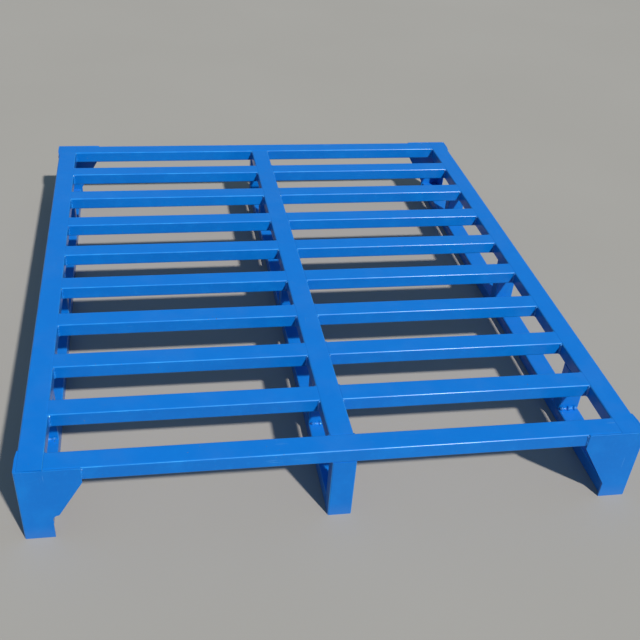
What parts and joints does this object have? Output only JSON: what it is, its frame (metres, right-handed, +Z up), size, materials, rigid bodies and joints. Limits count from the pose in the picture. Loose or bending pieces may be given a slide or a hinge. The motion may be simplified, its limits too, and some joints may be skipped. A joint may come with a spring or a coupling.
{
  "type": "steel pallet",
  "caption": "Welded steel pallet: flush slatted deck of rectangular tube over floor skids on short posts, with folded corner plates and fork entry from every side.",
  "frame": {"origin": "on the floor, under the centre of the deck", "axes": "+X across the pallet's width, +Y along its length, +Z up from the floor through the deck"},
  "size_m": [1, 1.2, 0.14],
  "materials": {
    "tube_enamel": "semi-gloss blue enamel over welded steel tube",
    "plate_enamel": "semi-gloss blue enamel over folded steel plate",
    "weld_enamel": "blue enamel over rippled weld bead"
  },
  "bodies": {
    "root": {"runner_left": "tube_enamel", "runner_middle": "tube_enamel", "runner_right": "tube_enamel", "end_bar_front": "tube_enamel", "end_bar_rear": "tube_enamel", "deck_bar_left_1": "tube_enamel", "deck_bar_left_2": "tube_enamel", "deck_bar_left_3": "tube_enamel", "deck_bar_left_4": "tube_enamel", "deck_bar_left_5": "tube_enamel", "deck_bar_left_6": "tube_enamel", "deck_bar_left_7": "tube_enamel", "deck_bar_left_8": "tube_enamel", "deck_bar_right_1": "tube_enamel", "deck_bar_right_2": "tube_enamel", "deck_bar_right_3": "tube_enamel", "deck_bar_right_4": "tube_enamel", "deck_bar_right_5": "tube_enamel", "deck_bar_right_6": "tube_enamel", "deck_bar_right_7": "tube_enamel", "deck_bar_right_8": "tube_enamel", "skid_left": "tube_enamel", "skid_middle": "tube_enamel", "skid_right": "tube_enamel", "post_left_front": "tube_enamel", "post_left_centre": "tube_enamel", "post_left_rear": "tube_enamel", "post_middle_front": "tube_enamel", "post_middle_centre": "tube_enamel", "post_middle_rear": "tube_enamel", "post_right_front": "tube_enamel", "post_right_centre": "tube_enamel", "post_right_rear": "tube_enamel", "corner_plate_front_left": "plate_enamel", "corner_plate_front_right": "plate_enamel", "corner_plate_rear_left": "plate_enamel", "corner_plate_rear_right": "plate_enamel", "middle_leg_front": "tube_enamel", "middle_leg_rear": "tube_enamel", "deck_welds_left": "weld_enamel", "deck_welds_right": "weld_enamel", "post_welds_left": "weld_enamel", "post_welds_middle": "weld_enamel", "post_welds_right": "weld_enamel", "corner_welds": "weld_enamel", "deck_seams": "weld_enamel", "corner_seams": "weld_enamel"}
  },
  "joints": []
}
